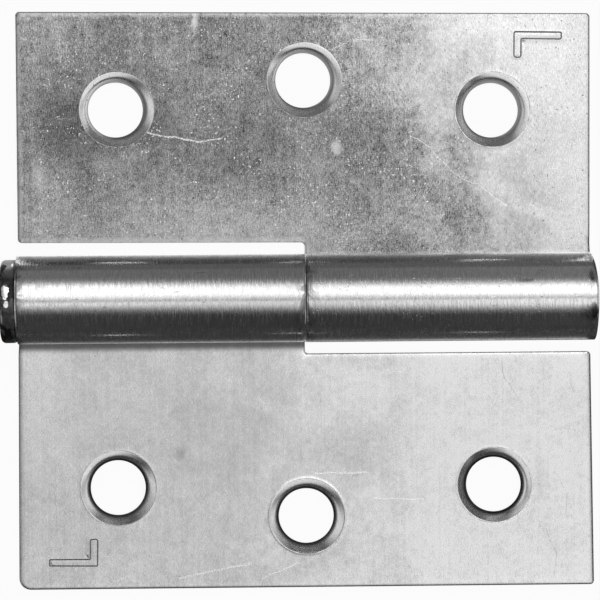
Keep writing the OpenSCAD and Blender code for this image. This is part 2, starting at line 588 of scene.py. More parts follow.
@dataclass(frozen=True)
class PeenedSteel:
    """Dark drawn steel of the pin, with a hammered head. The head's colour holds three painted highlights on its rim
    and painted shade towards its top and bottom, and is darker in a band across its middle.
    """

    name: str = "peened_steel"
    # Painted highlights: centre and size in millimetres of each bright patch on the head's rim.
    glints: tuple[tuple[tuple, tuple], ...] = (
        ((-38.6, 1.1, 11.0), (0.45, 0.95, 3.0)),
        ((-38.45, -0.5, 11.0), (0.3, 0.42, 3.0)),
        ((-37.75, 4.55, 8.5), (0.18, 0.25, 2.0)),
    )

    def material(self) -> bpy.types.Material:
        """Builds the material."""
        made = bpy.data.materials.new(self.name)
        made.use_nodes = True
        w = NodeWriter(made.node_tree)
        place = w.node("ShaderNodeTexCoord").outputs["Object"]
        along = w.node("ShaderNodeSeparateXYZ")
        w.feed(along.inputs[0], place)
        head = w.ramp(along.outputs[0], -37.3 * MM, -37.1 * MM, 1.0, 0.0)
        patch = w.noise(place, 420.0, 3.0, 0.6, 0.8)
        grain = w.noise(place, 2200.0, 3.0, 0.6)
        drawn = w.noise(w.stretch(place, (60.0, 2600.0, 2600.0)), 1.0, 3.0)
        oxide = w.math("MULTIPLY", head, w.ramp(patch, 0.44, 0.48, 1.0, 0.0))
        lump = w.math("MULTIPLY", w.math("SUBTRACT", w.noise(place, 1700.0, 2.0), 0.5), 1.6)
        # Painted highlights: bright, smooth patches on the head's rim at the listed places.
        lit: Feed = 0.0
        for spot, size in self.glints:
            off = w.vector("SUBTRACT", place, tuple(v * MM for v in spot)).outputs[0]
            off = w.vector("MULTIPLY", off, tuple(1 / (v * MM) for v in size)).outputs[0]
            near = w.math("ADD", w.vector("LENGTH", off).outputs["Value"], lump)
            lit = w.math("MAXIMUM", lit, w.ramp(near, 0.85, 1.05, 1.0, 0.0))
        tone = w.ramp(drawn, 0.3, 0.7, 0.42, 0.52)
        # The head is darker in a band across its middle, round Y = 0.5 mm.
        band = w.ramp(w.math("ABSOLUTE", w.math("SUBTRACT", along.outputs[1], 0.5 * MM)), 2.0 * MM, 3.0 * MM)
        middle_band_tone = w.math("MULTIPLY", w.ramp(grain, 0.3, 0.7, 0.85, 1.1), w.ramp(band, 0.0, 1.0, 0.13, 0.42))
        tone = w.mix(head, tone, middle_band_tone)
        # Painted shade: the head is darker towards its top and bottom.
        painted_shoulder_shade = w.ramp(w.math("ABSOLUTE", along.outputs[1]), 3.9 * MM, 4.8 * MM, 1.0, 0.5)
        tone = w.mix(head, tone, w.math("MULTIPLY", tone, painted_shoulder_shade))
        tone = w.mix(oxide, tone, 0.05)
        tone = w.mix(lit, tone, 0.95)
        rough = w.mix(lit, w.mix(head, 0.30, w.mix(oxide, 0.30, 0.5)), 0.15)
        rough = w.math("ADD", rough, w.ramp(grain, 0.3, 0.7, -0.04, 0.04))
        height = w.math("MULTIPLY", w.mix(head, w.math("MULTIPLY", drawn, 0.10), patch), 0.06)
        height = w.math("ADD", height, w.math("MULTIPLY", grain, 0.006))
        bump = w.node("ShaderNodeBump")
        bump.inputs["Strength"].default_value = 1.0
        bump.inputs["Distance"].default_value = MM
        w.feed(bump.inputs["Height"], height)
        shader = w.node("ShaderNodeBsdfPrincipled")
        shader.inputs["Metallic"].default_value = 1.0
        w.feed(shader.inputs["Base Color"], tone)
        w.feed(shader.inputs["Roughness"], rough)
        w.feed(shader.inputs["Normal"], bump.outputs[0])
        out = w.node("ShaderNodeOutputMaterial")
        w.feed(out.inputs["Surface"], shader.outputs[0])
        return made


# ---------------------------------------------------------------- the two leaves


def mesh_object(
    name: str, points: np.ndarray, faces: list[tuple[int, ...]]
) -> bpy.types.Object:
    """Makes an object of points in millimetres, with its faces turned outwards."""
    mesh = bpy.data.meshes.new(name)
    mesh.from_pydata([tuple(p) for p in points * MM], [], faces)
    work = bmesh.new()
    work.from_mesh(mesh)
    bmesh.ops.remove_doubles(work, verts=work.verts, dist=1e-7)
    bmesh.ops.recalc_face_normals(work, faces=work.faces)
    work.to_mesh(mesh)
    work.free()
    made = bpy.data.objects.new(name, mesh)
    bpy.context.scene.collection.objects.link(made)
    return made


class Side(Enum):
    """Which leaf of the hinge, by the half turn that puts it in place."""

    PIN = math.pi
    SOCKET = 0.0


@dataclass(frozen=True)
class Roll:
    """The rule by which a blank is rolled into a knuckle."""

    sheet: float = 2.1
    bore_radius: float = 3.64
    seam_gap: float = 0.12

    @property
    def radius(self) -> float:
        """Outer radius of the knuckle."""
        return self.bore_radius + self.sheet

    @property
    def length(self) -> float:
        """Length of sheet in the roll, along its neutral line."""
        drop = (self.radius - self.sheet - self.seam_gap) / self.radius
        return (math.pi * 1.5 + math.asin(drop)) * (self.radius - self.sheet / 2)

    def tree(self, material: bpy.types.Material) -> bpy.types.NodeTree:
        """Geometry Nodes tree that rolls the part of a flat blank beyond Y = 0.

        Args:
            material: Finish of the rolled leaf.

        Returns:
            A tree with the inputs Geometry, Knuckle radius, Sheet thickness and Turn.
        """
        tree = bpy.data.node_groups.new("Roll blank round pin", "GeometryNodeTree")
        face = tree.interface
        face.new_socket("Geometry", in_out="INPUT", socket_type="NodeSocketGeometry")
        for name in ("Knuckle radius", "Sheet thickness", "Turn"):
            face.new_socket(name, in_out="INPUT", socket_type="NodeSocketFloat")
        face.new_socket("Geometry", in_out="OUTPUT", socket_type="NodeSocketGeometry")
        w = NodeWriter(tree)
        ins = w.node("NodeGroupInput").outputs
        place = w.node("ShaderNodeSeparateXYZ")
        w.feed(place.inputs[0], w.node("GeometryNodeInputPosition").outputs[0])
        x, y, z = place.outputs
        half = w.math("MULTIPLY", ins["Sheet thickness"], 0.5)
        neutral = w.math("SUBTRACT", ins["Knuckle radius"], half)
        turned = w.math("MAXIMUM", w.math("MULTIPLY", y, -1.0), 0.0)
        angle = w.math("DIVIDE", turned, neutral)
        radius = w.math("SUBTRACT", ins["Knuckle radius"], z)
        swing = w.math("MULTIPLY", radius, w.math("SINE", angle))
        new_y = w.math("SUBTRACT", w.math("MAXIMUM", y, 0.0), swing)
        lift = w.math("MULTIPLY", radius, w.math("COSINE", angle))
        new_z = w.math("SUBTRACT", ins["Knuckle radius"], lift)
        target = w.node("ShaderNodeCombineXYZ")
        for socket, value in zip(target.inputs, (x, new_y, new_z)):
            w.feed(socket, value)
        move = w.node("GeometryNodeSetPosition")
        w.feed(move.inputs["Geometry"], ins["Geometry"])
        w.feed(move.inputs["Position"], target.outputs[0])
        heading = w.node("ShaderNodeCombineXYZ")
        w.feed(heading.inputs[2], ins["Turn"])
        spin = w.node("GeometryNodeTransform")
        w.feed(spin.inputs["Geometry"], move.outputs[0])
        w.feed(spin.inputs["Rotation"], heading.outputs[0])
        smooth = w.node("GeometryNodeSetShadeSmooth")
        w.feed(smooth.inputs["Geometry"], spin.outputs[0])
        real = w.node("GeometryNodeRealizeInstances")
        w.feed(real.inputs[0], smooth.outputs[0])
        finish = w.node("GeometryNodeSetMaterial")
        w.feed(finish.inputs["Geometry"], real.outputs[0])
        finish.inputs["Material"].default_value = material
        w.feed(w.node("NodeGroupOutput").inputs[0], finish.outputs[0])
        return tree


@dataclass
class Leaf:
    """One leaf: a blank cut from sheet, countersunk, marked and rolled at one end.

    Its sizes are in millimetres in the blank's own plan: X along the pin, with the
    knuckle on the +X side, and Y from the pin outwards.
    """

    side: Side
    body: str
    reach: float
    knuckle_corner: float
    knuckle_end: float
    end_recess: float
    skew: float
    flare: Pair
    sink_shift: float
    leans: tuple[float, ...]
    lips: tuple[float, ...]
    edge_ease: Pair
    roll: Roll = field(default_factory=Roll)
    length: float = 75.0
    knuckle_start: float = 0.03
    notch_reach: float = 7.28
    notch_corner: float = 0.5
    corner: float = 0.5
    hole_radius: float = 3.6
    sink_radius: float = 4.9
    sink_depth: float = 1.15
    holes: tuple[Pair, ...] = ((-24.6, 24.7), (0.0, 28.6), (24.6, 24.7))
    die_roll: tuple[Pair, ...] = (
        (0.0, 0.27), (0.03, 0.15), (0.08, 0.095), (0.16, 0.06), (0.27, 0.036), (0.42, 0.018),
        (0.62, 0.005), (0.9, 0.0),
    )
    back_edge: tuple[Pair, ...] = ((0.015, 0.05), (0.05, 0.0), (0.4, 0.0))

    def outline(self) -> np.ndarray:
        """Outline of the flat blank, anticlockwise."""
        half, end = self.length / 2, -self.roll.length
        crest = -math.pi * (self.roll.radius - self.roll.sheet / 2)
        right: list[tuple[float, float, float]] = [
            (half, self.reach, self.knuckle_corner),
        ]
        left = [(-half, self.reach, self.corner), (-half, self.notch_reach, self.corner)]
        root = [(self.knuckle_start, self.notch_reach, self.notch_corner)]
        free = [(self.knuckle_start, end, 0.5), (self.edge_at(end, crest, end), end, 0.5)]
        side: list[tuple[float, float, float]] = []
        for y in np.arange(end + 1.0, 7.6, 0.7):
            side.append((self.edge_at(float(y), crest, end), float(y), 0.0))
        points = rounded(root + free + side + right + left)
        dense = resampled(points, 0.8, 0.24)
        return dense

    def edge_at(self, y: float, crest: float, end: float) -> float:
        """X of the knuckle's outer end edge at one place along the blank."""
        if y > crest:
            ease = min(1.0, max(0.0, (y - 5.2) / 1.8))
            return self.knuckle_end + (self.length / 2 - self.knuckle_end) * ease
        share = (crest - y) / (crest - end)
        return self.knuckle_end - self.end_recess * share**1.6

    def hole_rings(self, index: int) -> list[tuple[np.ndarray, np.ndarray]]:
        """Rings of one pressed countersink on the front face, from the hole outwards.

        Args:
            index: Number of the screw hole.

        Returns:
            The points and the heights of each ring.
        """
        x, y = self.holes[index]
        lip = self.lips[index]
        sheet, rim = self.roll.sheet, self.sink_radius
        width = rim - self.hole_radius
        turn = np.arange(72) * 2 * math.pi / 72
        lean = turn - math.radians(self.leans[index]) - self.side.value
        gentle = ((1 + np.cos(lean)) / 2) ** 1.1
        rings = []
        for share in (1.0, 0.96, 0.9, 0.8, 0.7, 0.6, 0.5, 0.4, 0.3, 0.2, 0.1, 0.05):
            bowl = 0.05 * share + 0.95 * share**5.5
            drop = self.sink_depth * (gentle * bowl + (1 - gentle) * share)
            spot = (x + self.sink_shift * (1 - share), y)
            rings.append((circle(spot, rim - width * share), sheet - drop + lip * (1 - share)))
        spot = (x + self.sink_shift, y)
        for out, lift in ((0.0, 0.6), (0.05, 1.0), (0.11, 0.95), (0.2, 0.55), (0.32, 0.2), (0.5, 0.0), (0.7, 0.0)):
            rings.append((circle(spot, rim + out), np.full(72, sheet + lip * lift)))
        return rings

    def mark_rings(self) -> list[tuple[np.ndarray, float]]:
        """Rings of the stamped hand mark, an L with a sunken floor."""
        shape = [
            (33.83, 34.93, 0.25), (27.58, 34.98, 0.25), (27.55, 31.54, 0.35),
            (28.54, 31.54, 0.35), (28.56, 34.0, 0.12), (33.82, 33.96, 0.25),
        ]
        if self.side is Side.PIN:
            shape = [
                (33.61, 34.84, 0.12), (27.3, 34.92, 0.2), (27.24, 31.36, 0.3),
                (28.28, 31.35, 0.3), (28.3, 33.98, 0.12), (33.6, 33.96, 0.2),
            ]
        base = resampled(rounded(shape), 0.3, 0.3)
        sheet = self.roll.sheet
        steps = (
            (-0.22, 0.0), (-0.12, 0.010), (-0.05, 0.010), (0.0, -0.01), (0.03, -0.15),
            (0.06, -0.16), (0.11, -0.09), (0.14, -0.085),
        )
        return [(inset(base, d), sheet + h) for d, h in steps]

    def grid(self, face_limit: np.ndarray, avoid: list[np.ndarray]) -> np.ndarray:
        """Loose points that fill a face, finer along the roll."""
        half = self.length / 2
        plate = np.array(
            [(x, y) for y in np.arange(0.35, self.reach, 0.7) for x in np.arange(-half, half, 0.7)]
        )
        rolled = np.array(
            [
                (x, y)
                for y in np.arange(0.0, -self.roll.length, -0.22)
                for x in np.arange(0.9, half, 0.8)
            ]
        )
        points = np.concatenate([plate, rolled])
        points = points[inside(points, face_limit)]
        for loop in avoid:
            points = points[~inside(points, loop)]
        return points[nearest(points, [face_limit, *avoid]) > 0.16]

    def shape(self) -> bpy.types.Object:
        """Cuts the flat blank as one closed mesh with its plan as a UV map."""
        sheet = self.roll.sheet
        outline = self.outline()
        front, back = FacePlan(), FacePlan()
        cut_edge = self.die_roll[:6]
        ease = self.eased(outline)
        front_outer = [front.add_loop(inset(outline, d), sheet - h * ease) for d, h in cut_edge][0]
        back_outer = [back.add_loop(inset(outline, d), h) for d, h in self.back_edge][0]
        front_holes, back_holes, guards, cuts = [], [], [], []
        for index, centre in enumerate(self.holes):
            rings = self.hole_rings(index)
            front_holes.append([front.add_loop(loop, height) for loop, height in rings][0])
            cuts.append(rings[0][0])
            guards.append(rings[-1][0])
            lands = ((0.04, 0.04), (0.12, 0.0), (0.35, 0.0))
            loops = [circle(centre, self.hole_radius + d) for d, _ in lands]
            back_holes.append([back.add_loop(p, h) for p, (_, h) in zip(loops, lands)][0])
        marks = self.mark_rings()
        for loop, height in marks:
            front.add_loop(loop, height)
        loose = self.grid(inset(outline, 0.42), guards + [marks[0][0]])
        away, falls = zip(*self.die_roll)
        front.add_points(loose, sheet - np.interp(nearest(loose, [outline]), away, falls))
        floor = marks[-1]
        loose = np.array([(x, y) for x in np.arange(27.4, 34, 0.35) for y in np.arange(31, 35, 0.35)])
        loose = loose[inside(loose, floor[0])]
        front.add_points(loose[nearest(loose, [floor[0]]) > 0.12], floor[1])
        wide = [circle(c, self.hole_radius + 0.35) for c in self.holes]
        back.add_points(self.grid(inset(outline, 0.4), wide), 0.0)

        top = front.triangles(outline, [cut for cut in cuts])
        base_limit = inset(outline, self.back_edge[0][0])
        base_cuts = [circle(c, self.hole_radius + 0.04) for c in self.holes]
        base = back.triangles(base_limit, base_cuts)
        flat = np.concatenate([top[0], base[0]])
        height = np.concatenate([top[1], base[1]])
        offset = len(top[0])
        faces: list[tuple[int, ...]] = [tuple(f) for f in top[3]]
        faces += [tuple(f + offset) for f in base[3]]

        def wall(upper: range, lower: range, between: list[tuple[np.ndarray, float]]) -> None:
            """Joins a loop of the front to its loop of the back, through some rows."""
            nonlocal flat, height
            rows = [[top[2][i] for i in upper]]
            for loop, level in between:
                rows.append(list(range(len(flat), len(flat) + len(loop))))
                flat = np.concatenate([flat, loop])
                height = np.concatenate([height, np.full(len(loop), level)])
            rows.append([base[2][i] + offset for i in lower])
            for a, b in zip(rows, rows[1:]):
                for i in range(len(a)):
                    j = (i + 1) % len(a)
                    faces.append((a[i], a[j], b[j], b[i]))

        wall(front_outer, back_outer, [(outline, 1.2), (inset(outline, 0.012), 0.6), (inset(outline, 0.02), 0.2)])
        for centre, upper, lower in zip(self.holes, front_holes, back_holes):
            wall(upper, lower, [(circle(centre, self.hole_radius), 0.5)])

        used = np.unique(np.concatenate([np.array(f) for f in faces]))
        renumber = {int(old): new for new, old in enumerate(used)}
        faces = [tuple(renumber[int(i)] for i in f) for f in faces]
        flat, height = flat[used], height[used]
        height = height + self.waves(flat, height)
        rim = np.minimum(nearest(flat, [outline, *cuts]), 3.0)
        stamp = np.where(height > 1.0, np.minimum(nearest(flat, [marks[4][0]]), 3.0), 3.0)
        flat = self.strained(flat)
        made = mesh_object(f"{self.body}_sheet", np.column_stack([flat, height]), faces)
        self.write_plan(made.data, flat, {RIM_NAME: rim, STAMP_NAME: stamp})
        return made

    def eased(self, loop: np.ndarray) -> np.ndarray:
        """Share of the full roll-over at each point of the outline."""
        along = unit(np.roll(loop, -1, axis=0) - np.roll(loop, 1, axis=0))
        outer, end = self.edge_ease
        plate = loop[:, 1] > 8.0
        outwards = np.clip(-along[:, 0], 0, 1) ** 4 * outer
        sidewards = np.clip(along[:, 1], 0, 1) ** 4 * end
        notch = (np.abs(loop[:, 1] - self.notch_reach) < 0.3) & (along[:, 0] > 0.9)
        return 1 - np.where(plate, outwards + sidewards, 0.0) - np.where(notch, 0.6, 0.0)

    def strained(self, flat: np.ndarray) -> np.ndarray:
        """Moves the plan of the plate a little, as the leaf is not quite square."""
        x, y = flat[:, 0], flat[:, 1]
        out = np.clip((y - 7.3) / 30, 0, 1)
        skew = self.skew * (0.65 * np.clip(y / 7.3, 0, 1) + 0.35 * out)
        flare = np.where(x < 0, self.flare[0], self.flare[1])
        half = self.length / 2
        return np.column_stack([x + flare * out * x / half, y - skew * x])

    def waves(self, flat: np.ndarray, height: np.ndarray) -> np.ndarray:
        """Slight unevenness of the sheet, inwards from both faces."""
        out = np.zeros(len(flat))
        for i, ((x, y), level) in enumerate(zip(flat, height)):
            broad = noise.noise(Vector((x * 0.07, y * 0.09, 3.1 + self.side.value)))
            if level > self.roll.sheet / 2:
                out[i] = 0.02 * (broad - 0.8)
            elif y < -2.0:
                ring = noise.noise(Vector((x * 0.05, y * 0.35, 7.7)))
                out[i] = 0.012 * (1 + ring) * min(1.0, (-2.0 - y) / 2)
        return out

    def write_plan(
        self, mesh: bpy.types.Mesh, flat: np.ndarray, distances: dict[str, np.ndarray]
    ) -> None:
        """Stores the plan in place as a UV map in millimetres, and distances to the cuts."""
        sign = -1.0 if self.side is Side.PIN else 1.0
        corner = np.empty(len(mesh.loops), dtype=np.int32)
        mesh.loops.foreach_get("vertex_index", corner)
        layer = mesh.uv_layers.new(name=UV_NAME)
        layer.data.foreach_set("uv", (flat[corner] * sign).ravel())
        for name, values in distances.items():
            attribute = mesh.attributes.new(name, "FLOAT", "POINT")
            attribute.data.foreach_set("value", values)

    def build(self, material: bpy.types.Material) -> bpy.types.Object:
        """Rolls the blank and returns the finished leaf.

        Args:
            material: Finish of the leaf.

        Returns:
            The leaf as a plain mesh.
        """
        blank = self.shape()
        tree = self.roll.tree(material)
        change = blank.modifiers.new("Roll", "NODES")
        change.node_group = tree
        values = {
            "Knuckle radius": self.roll.radius * MM,
            "Sheet thickness": self.roll.sheet * MM,
            "Turn": self.side.value,
        }
        for item in tree.interface.items_tree:
            if item.name in values:
                change[item.identifier] = values[item.name]
        bpy.context.view_layer.update()
        evaluated = blank.evaluated_get(bpy.context.evaluated_depsgraph_get())
        mesh = bpy.data.meshes.new_from_object(evaluated)
        made = bpy.data.objects.new(blank.name + "_rolled", mesh)
        bpy.context.scene.collection.objects.link(made)
        bpy.data.objects.remove(blank)
        return made

    def dress(self, leaf: bpy.types.Object) -> None:
        """Puts the leaf in the CAD frame in place of its node."""
        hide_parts(self.body)
        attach(leaf, self.body)


# ---------------------------------------------------------------- the pin


@dataclass
class HeadedPin:
    """Drawn pin with an upset head, lying along X in both knuckles."""

    axis_z: float = 5.68
    head_start: float = -39.4
    head_length: float = 2.0
    head_radius: float = 5.40
    slump: float = 0.15
    rim_radius: float = 0.6
    shank_radius: float = 3.5
    end: float = 34.3
    tip_radius: float = 2.0
    around: int = 144

    def profile(self) -> list[Pair]:
        """Profile of the pin as distance along X and radius."""
        arc = np.linspace(0, math.pi / 2, 7)
        start, stop = self.head_start, self.head_start + self.head_length
        points = [(start + 0.05, r) for r in (0.6, 1.4, 2.2)]
        points += [(start, r) for r in (2.9, 3.6, 4.2)]
        r0 = self.rim_radius
        points += [
            (start + r0 * (1 - math.sin(a)), self.head_radius - r0 * (1 - math.cos(a)))
            for a in math.pi / 2 - arc
        ]
        points += [(start + r0 + k * (self.head_length - 1.4 * r0) / 4, self.head_radius) for k in (1, 2, 3)]
        r1 = r0 * 0.5
        points += [
            (stop - r1 * (1 - math.sin(a)), self.head_radius - r1 * (1 - math.cos(a)))
            for a in math.pi / 2 - arc[::-1]
        ]
        points += [(stop, self.shank_radius + 0.4), (stop, self.shank_radius)]
        points += [(float(x), self.shank_radius) for x in np.arange(stop + 1, self.end - self.tip_radius, 2.0)]
        points += [
            (
                self.end - self.tip_radius + self.tip_radius * math.sin(a),
                self.shank_radius - self.tip_radius * (1 - math.cos(a)),
            )
            for a in arc
        ]
        return points

    def build(self, material: bpy.types.Material) -> bpy.types.Object:
        """Turns the profile, hammers the head and returns the pin."""
        profile = self.profile()
        rows: list[tuple[float, float, float]] = []
        for x, radius in profile:
            for k in range(self.around):
                turn = 2 * math.pi * k / self.around
                spot = Vector((x * 0.55, math.cos(turn) * radius * 0.5, math.sin(turn) * radius * 0.5))
                dent = 0.0
                if x < self.head_start + self.head_length - 0.1:
                    dent = 0.09 * min(0.0, noise.noise(spot) - 0.15) * min(1.0, radius / 3)
                size = radius + dent
                drop = self.slump if x <= self.head_start + self.head_length and radius != self.shank_radius else 0.0
                rows.append((x, size * math.cos(turn) - drop, self.axis_z + size * math.sin(turn)))
        count = self.around
        faces: list[tuple[int, ...]] = []
        for i in range(len(profile) - 1):
            for k in range(count):
                j = (k + 1) % count
                faces.append((i * count + k, i * count + j, (i + 1) * count + j, (i + 1) * count + k))
        tail = len(rows)
        rows += [(self.head_start + 0.05, 0.0, self.axis_z), (self.end, 0.0, self.axis_z)]
        last = (len(profile) - 1) * count
        for k in range(count):
            j = (k + 1) % count
            faces.append((tail, k, j))
            faces.append((tail + 1, last + k, last + j))
        made = mesh_object("headed_pin", np.array(rows), faces)
        made.data.shade_smooth()
        made.data.materials.append(material)
        return made

    def dress(self, pin: bpy.types.Object) -> None:
        """Puts the pin in the CAD frame in place of its node."""
        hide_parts("pin")
        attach(pin, "pin")


# ---------------------------------------------------------------- camera, floor and light


@dataclass
class Studio:
    """Camera straight above the hinge, white floor, soft light and two dark screens."""

    pixels: float = 600.0
    scale: float = 7.633
    distance: float = 400.0
    aim: tuple[float, float, float] = (-0.616, -0.262, 2.1)
    stand: Pair = (-10.0, 0.0)
    roll: float = 0.46
    tent_radius: float = 0.8
    tent_length: float = 2.0
    tent_levels: tuple[Pair, ...] = (
        (-43.0, 0.035), (-33.0, 0.11), (-27.0, 0.25), (-22.0, 0.44), (-14.0, 0.68),
        (-9.0, 0.71), (-4.0, 0.38), (0.0, 0.56), (4.0, 0.75), (8.0, 0.97), (12.0, 1.15),
        (26.0, 1.15), (32.0, 0.95), (38.0, 0.56), (43.0, 0.28), (49.0, 0.155), (56.0, 0.12),
        (90.0, 0.13),
    )
    tent_spread: tuple[Pair, ...] = (
        (-0.39, 0.30), (-0.235, 0.6), (-0.14, 1.3), (-0.085, 1.66), (-0.03, 1.04),
        (0.0, 1.02), (0.05, 1.14), (0.12, 1.58), (0.22, 1.6), (0.4, 0.7), (0.8, 0.4),
    )
    tent_twist: float = 50.0
    end_glow: float = 0.45

    def camera(self) -> None:
        """Makes the camera of the photograph."""
        data = bpy.data.cameras.new("camera")
        data.sensor_width = 36.0
        data.lens = self.scale * self.distance / self.pixels * data.sensor_width
        data.clip_start, data.clip_end = 0.01, 20.0
        eye = Vector((*self.stand, self.aim[2] + self.distance)) * MM
        made = bpy.data.objects.new("camera", data)
        bpy.context.scene.collection.objects.link(made)
        bpy.context.scene.camera = made
        back = (eye - Vector(self.aim) * MM).normalized()
        tilt = math.radians(self.roll)
        up = Vector((math.sin(tilt), math.cos(tilt), 0.0))
        right = up.cross(back).normalized()
        up = back.cross(right)
        turn = Matrix((right, up, back)).transposed()
        made.matrix_world = Matrix.Translation(eye) @ turn.to_4x4()

    def world(self) -> None:
        """Makes a level world that is white where the camera or a reflection sees it."""
        world = bpy.data.worlds.new("studio")
        bpy.context.scene.world = world
        world.use_nodes = True
        w = NodeWriter(world.node_tree)
        path = w.node("ShaderNodeLightPath").outputs
        seen = w.math("MAXIMUM", path["Is Camera Ray"], path["Is Glossy Ray"])
        seen = w.math("MAXIMUM", seen, path["Is Transmission Ray"])
        light = w.node("ShaderNodeBackground")
        w.feed(light.inputs["Strength"], w.mix(seen, 0.55, 1.0))
        out = w.node("ShaderNodeOutputWorld")
        w.feed(out.inputs["Surface"], light.outputs[0])

    def floor(self) -> bpy.types.Object:
        """Makes a white floor just under the hinge that keeps its shadow."""
        made = self.panel("floor", Vector((0, 0, -0.06)) * MM, (4.0, 4.0), Vector((0, 0, 1)))
        material = bpy.data.materials.new("white_floor")
        material.use_nodes = True
        w = NodeWriter(material.node_tree)
        path = w.node("ShaderNodeLightPath").outputs
        seen = w.math("MAXIMUM", path["Is Camera Ray"], path["Is Glossy Ray"])
        seen = w.math("MAXIMUM", seen, path["Is Transmission Ray"])
        matt = w.node("ShaderNodeBsdfDiffuse")
        matt.inputs["Color"].default_value = grey(0.9)
        glow = w.node("ShaderNodeEmission")
        mix = w.node("ShaderNodeMixShader")
        w.feed(mix.inputs[0], w.math("MULTIPLY", seen, 0.95))
        w.feed(mix.inputs[1], matt.outputs[0])
        w.feed(mix.inputs[2], glow.outputs[0])
        out = w.node("ShaderNodeOutputMaterial")
        w.feed(out.inputs["Surface"], mix.outputs[0])
        made.data.materials.append(material)
        return made

    def panel(self, name: str, centre: Vector, size: Pair, facing: Vector) -> bpy.types.Object:
        """Makes a flat panel of a width and height in metres that faces one way."""
        side = Vector((1, 0, 0)) if abs(facing.x) < 0.9 else Vector((0, 1, 0))
        up = facing.cross(side).normalized()
        corners = [
            centre + side * (size[0] / 2 * a) + up * (size[1] / 2 * b)
            for a, b in ((-1, -1), (1, -1), (1, 1), (-1, 1))
        ]
        mesh = bpy.data.meshes.new(name)
        mesh.from_pydata([tuple(c) for c in corners], [], [(0, 1, 2, 3)])
        made = bpy.data.objects.new(name, mesh)
        bpy.context.scene.collection.objects.link(made)
        return made

    def tent(self) -> bpy.types.Object:
        """Makes a half-round light tent over the hinge, which only light rays see."""
        steps = 60
        turns = np.linspace(-math.pi / 2, math.pi / 2, steps + 1)
        half = self.tent_length / 2
        points = [
            (x, self.tent_radius * math.sin(a), self.tent_radius * math.cos(a))
            for a in turns
            for x in (-half, half)
        ]
        faces = [(2 * i, 2 * i + 1, 2 * i + 3, 2 * i + 2) for i in range(steps)]
        mesh = bpy.data.meshes.new("light_tent")
        mesh.from_pydata(points, [], faces)
        mesh.materials.append(self.tent_light())
        made = bpy.data.objects.new("light_tent", mesh)
        bpy.context.scene.collection.objects.link(made)
        made.visible_camera = False
        return made

    def tent_light(self) -> bpy.types.Material:
        """Cloth of the tent: bright from the top to one side, dark low down on both."""
        material = bpy.data.materials.new("tent_cloth")
        material.use_nodes = True
        w = NodeWriter(material.node_tree)
        place = w.node("ShaderNodeSeparateXYZ")
        w.feed(place.inputs[0], w.node("ShaderNodeTexCoord").outputs["Object"])
        angle = w.math("ARCTAN2", place.outputs[1], place.outputs[2])
        angle = w.math("MULTIPLY", angle, 180 / math.pi)
        low = w.ramp(w.math("ABSOLUTE", angle), 8.0, 20.0, 0.0, self.tent_twist)
        near = w.math("MAXIMUM", w.math("MINIMUM", place.outputs[0], 0.1), -0.1)
        angle = w.math("ADD", angle, w.math("MULTIPLY", low, near))
        level = self.steps(w, angle, self.tent_levels)
        spread = self.steps(w, place.outputs[0], self.tent_spread)
        ends = w.ramp(w.math("ABSOLUTE", place.outputs[0]), 0.45, 0.75, 0.0, self.end_glow)
        glow = w.node("ShaderNodeEmission")
        strength = w.math("MAXIMUM", w.math("MULTIPLY", level, spread), ends)
        w.feed(glow.inputs["Strength"], strength)
        out = w.node("ShaderNodeOutputMaterial")
        w.feed(out.inputs["Surface"], glow.outputs[0])
        return material

    def steps(self, w: NodeWriter, value: Socket, levels: tuple[Pair, ...]) -> Feed:
        """Reads a table of levels smoothly at a value."""
        level: Feed = levels[0][1]
        for (start, _), (stop, after) in zip(levels, levels[1:]):
            level = w.mix(w.ramp(value, start, stop), level, after)
        return level

    def strips(self) -> list[bpy.types.Object]:
        """Makes four low dark strips round the hinge, just outside the photograph."""
        made = []
        for name, spot, size, facing, level in (
            ("far_strip", (0.0, 41.0, 7.0), (300.0, 14.0), (0, -1, 0), 0.11),
            ("near_strip", (0.0, -47.0, 7.0), (300.0, 14.0), (0, 1, 0), 0.045),
            ("right_strip", (44.0, 0.0, 7.0), (80.0, 14.0), (-1, 0, 0), 0.05),
            ("left_strip", (-47.0, 0.0, 5.0), (80.0, 10.0), (1, 0, 0), 0.05),
            ("floor_card", (0.0, -26.0, -0.05), (94.0, 41.4), (0, 0, 1), 0.045),
        ):
            width, height = size
            strip = self.panel(name, Vector(spot) * MM, (width * MM, height * MM), Vector(facing))
            material = bpy.data.materials.new(name)
            material.use_nodes = True
            w = NodeWriter(material.node_tree)
            glow = w.node("ShaderNodeEmission")
            glow.inputs["Strength"].default_value = level
            out = w.node("ShaderNodeOutputMaterial")
            w.feed(out.inputs["Surface"], glow.outputs[0])
            strip.data.materials.append(material)
            strip.visible_camera = False
            strip.visible_shadow = False
            strip.visible_diffuse = False
            made.append(strip)
        return made

    def build(self) -> None:
        """Makes the whole studio."""
        self.camera()
        self.world()
        self.floor()
        self.tent()
        self.strips()
        bpy.context.scene.view_settings.view_transform = "Standard"


# ---------------------------------------------------------------- the hinge

